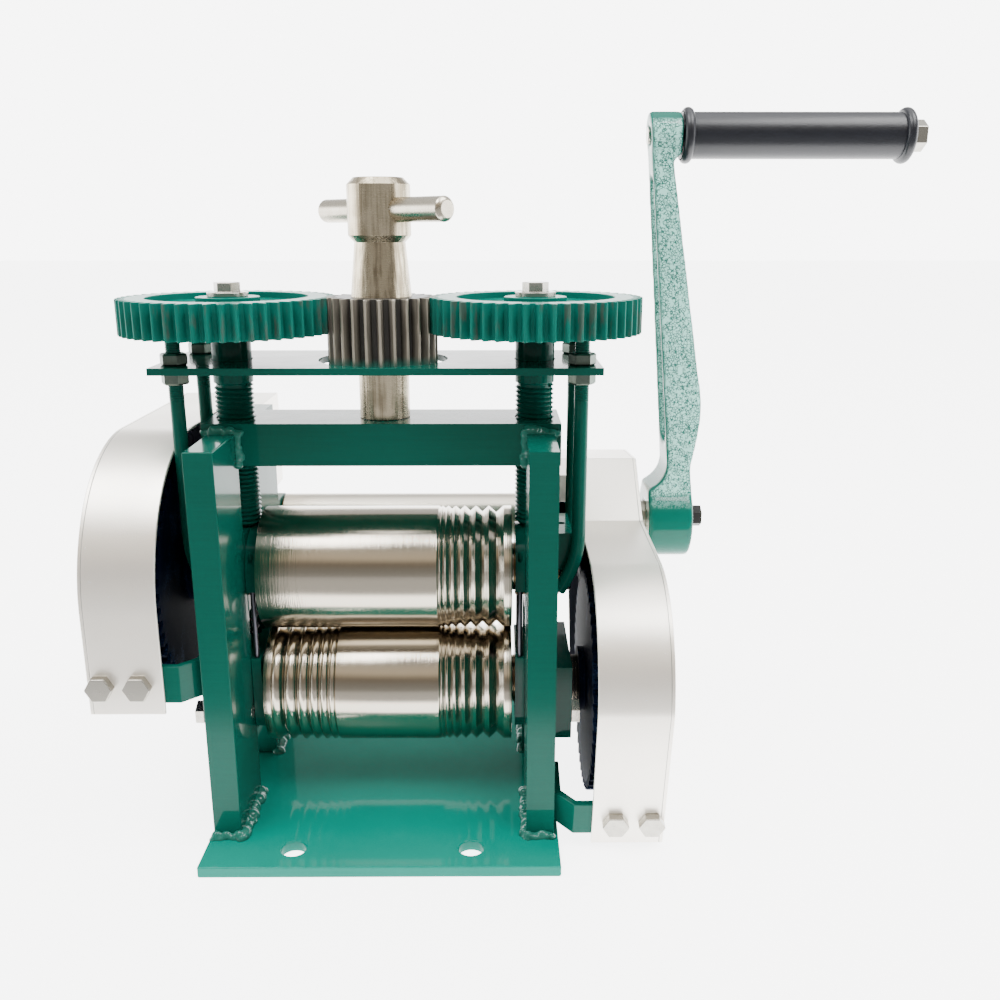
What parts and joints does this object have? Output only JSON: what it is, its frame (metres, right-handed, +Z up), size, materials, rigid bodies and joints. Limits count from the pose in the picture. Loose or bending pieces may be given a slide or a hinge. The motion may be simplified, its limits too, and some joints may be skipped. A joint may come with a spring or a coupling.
{
  "type": "jewellers rolling mill",
  "caption": "Bench rolling mill for sheet and wire: grooved steel rollers in a welded frame, twin pressure screws under geared tops, geared side crank with grip.",
  "frame": {"origin": "centre of the underside of the base plate, which is the centre of its four bolt holes", "axes": "+X along the rollers towards the crank, +Y away from the user, +Z up out of the bench"},
  "size_m": [0.3754, 0.1794, 0.3175],
  "materials": {
    "green_enamel": "glossy deep green enamel",
    "crank_enamel": "glossy green enamel on a rough casting",
    "roller_steel": "ground and polished",
    "shaft_steel": "satin",
    "nickel_steel": "satin nickel",
    "guard_silver": "matte silver",
    "dark_gear": "oiled dark iron",
    "top_gear_green": "green enamel worn on the teeth",
    "zinc": "zinc plated",
    "bronze": "plain",
    "black_plastic": "satin",
    "spring_steel": "oiled"
  },
  "bodies": {
    "frame": {"base_plate": "green_enamel", "leg_front_left": "green_enamel", "leg_rear_left": "green_enamel", "leg_front_right": "green_enamel", "leg_rear_right": "green_enamel", "head_crossbar": "green_enamel", "weld_beads": "green_enamel", "lower_block_left": "green_enamel", "lower_block_right": "green_enamel", "block_bolts": "zinc", "guide_pins": "spring_steel", "lift_springs": "spring_steel", "lower_bush_left": "bronze", "lower_bush_right": "bronze", "idler_stud": "dark_gear", "idler_clip": "dark_gear", "drive_bearing_left": "green_enamel", "drive_bearing_right": "green_enamel", "drive_bush_left": "bronze", "drive_bush_right": "bronze", "gear_plate": "green_enamel", "stay_front_left": "green_enamel", "stay_rear_left": "green_enamel", "stay_front_right": "green_enamel", "stay_rear_right": "green_enamel", "stay_nuts": "zinc", "gear_guard_left": "guard_silver", "gear_guard_right": "guard_silver", "guard_strap_left": "green_enamel", "guard_strap_right": "green_enamel", "guard_bolts": "zinc"},
    "handle": {"adjusting_spindle": "nickel_steel", "tee_bar": "nickel_steel", "tee_bar_pin": "nickel_steel", "adjusting_pinion": "nickel_steel"},
    "carriage": {"upper_block_left": "green_enamel", "upper_block_right": "green_enamel"},
    "screw_left": {"pressure_screw_left": "green_enamel", "screw_gear_left": "top_gear_green", "screw_bolt_left": "zinc"},
    "screw_right": {"pressure_screw_right": "green_enamel", "screw_gear_right": "top_gear_green", "screw_bolt_right": "zinc"},
    "upper_bushes": {"upper_bush_left": "bronze", "upper_bush_right": "bronze"},
    "upper_roller": {"upper_roller": "roller_steel", "upper_roller_gear": "dark_gear", "upper_gear_bolt": "zinc"},
    "lower_roller": {"lower_roller": "roller_steel", "lower_roller_gear": "dark_gear", "lower_gear_bolt": "zinc"},
    "idler": {"idler_gear": "dark_gear"},
    "crank": {"drive_shaft": "shaft_steel", "drive_pinion_left": "dark_gear", "drive_pinion_right": "dark_gear", "drive_end_bolt": "zinc", "crank_arm": "crank_enamel", "crank_bolt": "zinc", "grip_bolt": "zinc"},
    "grip": {"hand_grip": "black_plastic"}
  },
  "joints": [
    {"name": "handle_turn", "type": "hinge", "parent": "frame", "child": "handle", "pos_m": [0, 0, 0.2], "axis": [0, 0, -1], "range_deg": [0, 1800]},
    {"name": "carriage_lift", "type": "slide", "parent": "frame", "child": "carriage", "axis": [0, 0, 1], "range_m": [0, 0.005], "deforming": ["lift_springs"]},
    {"name": "screw_left_turn", "type": "hinge", "parent": "carriage", "child": "screw_left", "pos_m": [-0.066, 0, 0.18], "axis": [0, 0, 1], "range_deg": [0, 900]},
    {"name": "screw_right_turn", "type": "hinge", "parent": "carriage", "child": "screw_right", "pos_m": [0.066, 0, 0.18], "axis": [0, 0, 1], "range_deg": [0, 900]},
    {"name": "upper_bush_turn", "type": "hinge", "parent": "carriage", "child": "upper_bushes", "pos_m": [0, 0, 0.1108], "axis": [1, 0, 0], "range_deg": [-6, 0]},
    {"name": "upper_roller_turn", "type": "hinge", "parent": "upper_bushes", "child": "upper_roller", "pos_m": [0, 0, 0.1108], "axis": [1, 0, 0], "continuous": true},
    {"name": "lower_roller_turn", "type": "hinge", "parent": "frame", "child": "lower_roller", "pos_m": [0, 0, 0.0545], "axis": [1, 0, 0], "continuous": true},
    {"name": "idler_turn", "type": "hinge", "parent": "frame", "child": "idler", "pos_m": [0.0975, 0.038, 0.10475], "axis": [1, 0, 0], "continuous": true},
    {"name": "crank_turn", "type": "hinge", "parent": "frame", "child": "crank", "pos_m": [0.1, 0.074, 0.1133], "axis": [1, 0, 0], "continuous": true},
    {"name": "grip_turn", "type": "hinge", "parent": "crank", "child": "grip", "pos_m": [0.197, 0.074, 0.3045], "axis": [1, 0, 0], "continuous": true}
  ],
  "couplings": [
    {"joint": "handle_turn", "follows": "carriage_lift", "rad_per_m": 6283.2},
    {"joint": "screw_left_turn", "follows": "carriage_lift", "rad_per_m": 3141.6},
    {"joint": "screw_right_turn", "follows": "carriage_lift", "rad_per_m": 3141.6},
    {"joint": "upper_bush_turn", "follows": "carriage_lift", "rad_per_m": -20},
    {"joint": "upper_roller_turn", "follows": "crank_turn", "ratio": -0.48},
    {"joint": "lower_roller_turn", "follows": "crank_turn", "ratio": 0.48},
    {"joint": "idler_turn", "follows": "crank_turn", "ratio": -1.8462}
  ]
}
